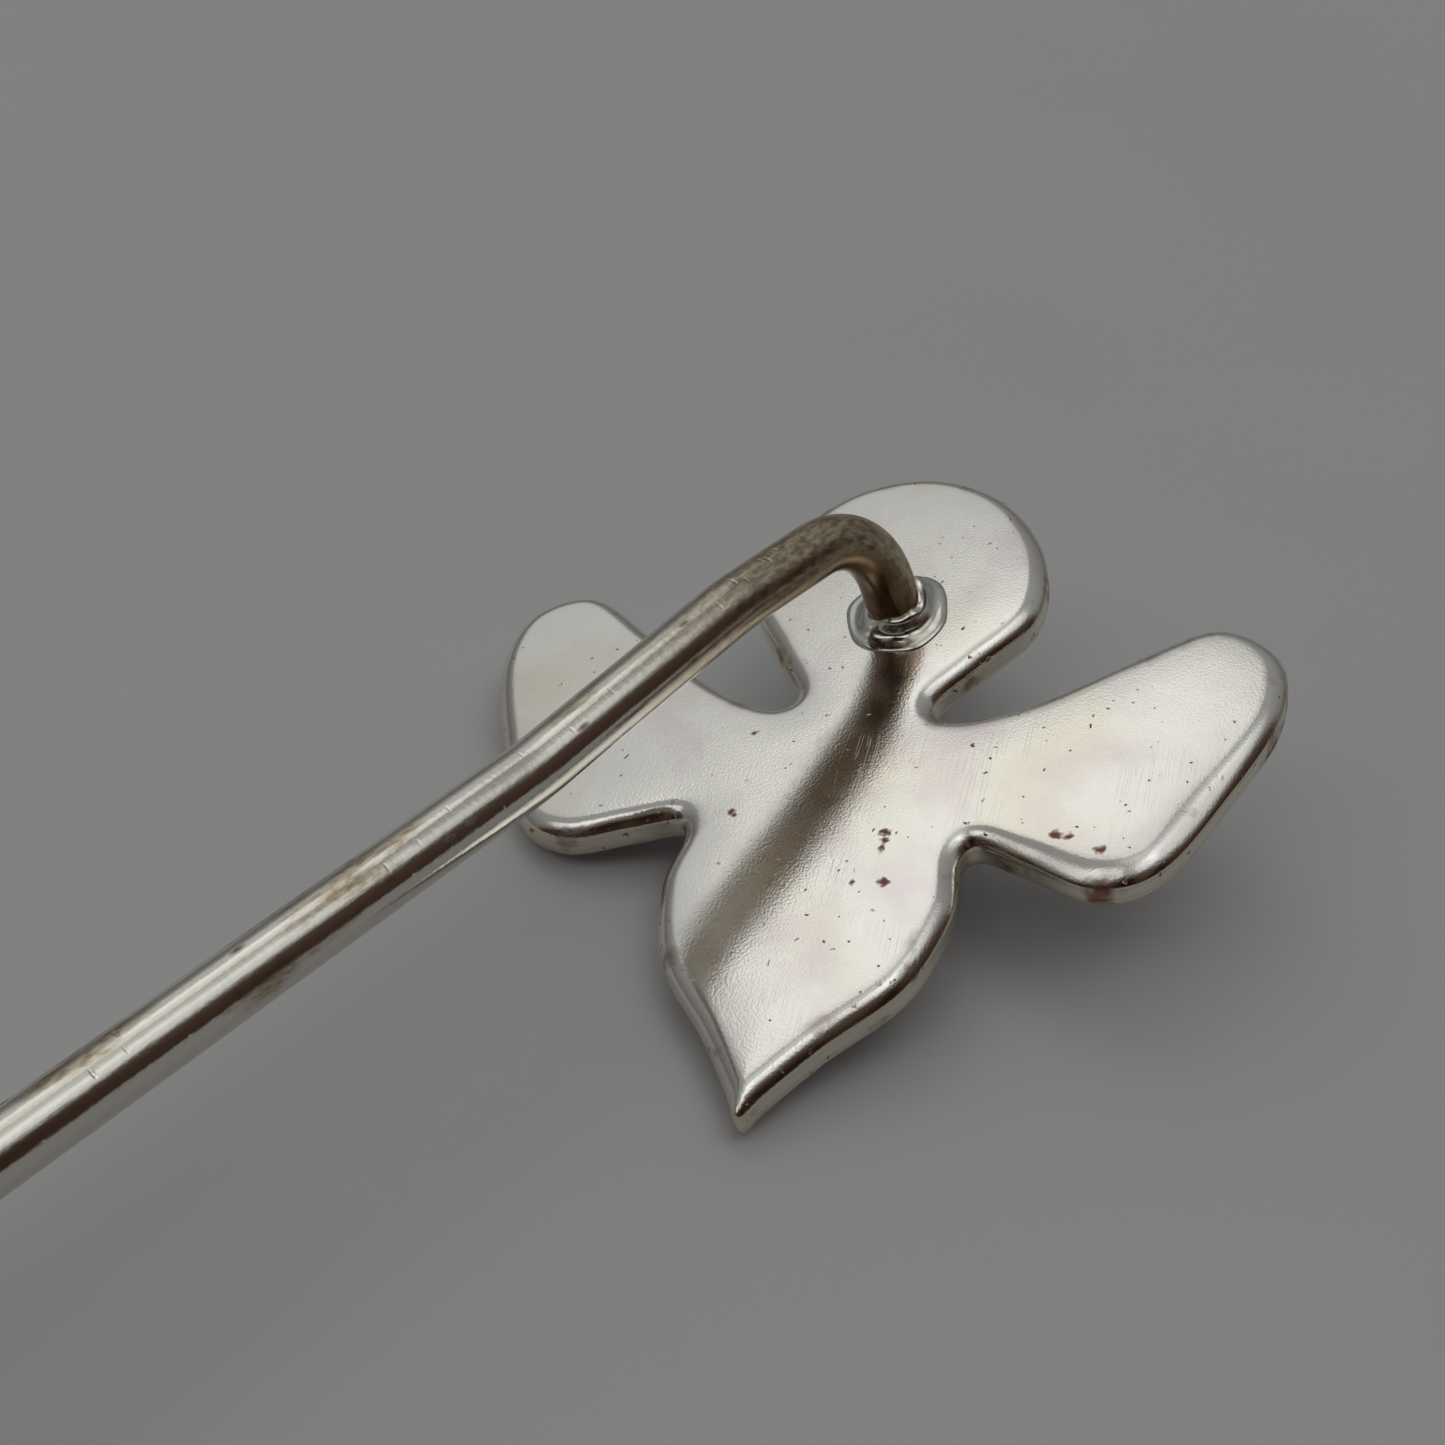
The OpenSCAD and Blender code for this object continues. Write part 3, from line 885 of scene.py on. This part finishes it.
# %% Guard pieces, along the shank from the guard's mouth
BARREL_R = 1.6
BARREL_WALL = 0.3
SIDE_LEN = 8.8
DOME_H = 0.9
MOUTH_R = 1.9
LIP_T = 0.25
LIP_R = 0.7
RING_R = 0.6
GRIP_PLAY = 0.03
PRESSED_AT = [2.1, 3.0]
PRESSED_DEEP = 0.07
PRESSED_WIDE = 0.13
SLEEVE_FREE = 0.02
SLEEVE_IN = 0.03

along_shank = shank_in_plate.to_track_quat("Z", "Y").to_matrix().to_4x4()
guard_in_wire = last_kink + GUARD_AT * shank_way
mouth = FOOT + WIRE_TURN @ Vector((guard_in_wire.x, 0, guard_in_wire.y))
GUARD = Matrix.Translation(mouth) @ along_shank


def own_places(profile, sides):
    """Each point's place on its own piece, before it is moved."""
    return turned_piece(profile, Matrix.Identity(4), sides, closed=True)[0]


def guard_piece(node, slot, profile, material, sides=96):
    points, faces = turned_piece(profile, GUARD, sides, closed=True)
    return make_piece(
        node, "guard", slot, points, faces, material, own_mm=own_places(profile, sides)
    )


barrel_out = [(BARREL_R, h) for h in np.arange(0.9, SIDE_LEN, 0.1)]
barrel_out = [
    (r - PRESSED_DEEP * sum(math.exp(-(((h - at) / PRESSED_WIDE) ** 2)) for at in PRESSED_AT), h)
    for r, h in barrel_out
]
barrel_out = [(BARREL_R, 0.0)] + barrel_out
inner_r = BARREL_R - BARREL_WALL
barrel_out += arc_of((0, SIDE_LEN), (BARREL_R, DOME_H), 0, 89.5, 16)
barrel_in = arc_of((0, SIDE_LEN), (inner_r, DOME_H - BARREL_WALL), 89.5, 0, 16)
guard_piece("guard_barrel", "guard_metal", barrel_out + barrel_in + [(inner_r, 0.0)], guard_plate)

bore_r = END_D / 2 + GRIP_PLAY
sleeve_r = inner_r - SLEEVE_FREE
sleeve_profile = [(sleeve_r, SLEEVE_IN), (sleeve_r, SIDE_LEN), (bore_r, SIDE_LEN)]
sleeve_profile += [(bore_r, 0.25), (bore_r + 0.06, 0.08), (bore_r + 0.14, SLEEVE_IN)]
guard_piece("guard_sleeve", "nylon", sleeve_profile, nylon)

ring_centre = (MOUTH_R - RING_R, RING_R - LIP_T)
ring_profile = arc_of(ring_centre, RING_R, -90, 60, 20) + [(BARREL_R, ring_centre[1] + 0.5), (BARREL_R, 0.0)]
ring_profile += [(LIP_R + 0.04, 0.0), (LIP_R, -0.05), (LIP_R, -LIP_T + 0.08), (LIP_R + 0.08, -LIP_T)]
guard_piece("guard_mouth_ring", "guard_metal", ring_profile, guard_plate)

# %% [markdown]
# The finished pieces stay the size of the imported ones. Both boxes are printed, so that
# they can be compared after each change.

# %% Print both boxes and finish
shown_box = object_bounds()
boxes = {"cad": [list(c) for c in cad_box], "visual": [list(c) for c in shown_box]}
for name, (low, high) in boxes.items():
    print(name, [round((b - a) * 1000, 2) for a, b in zip(low, high)], "mm")
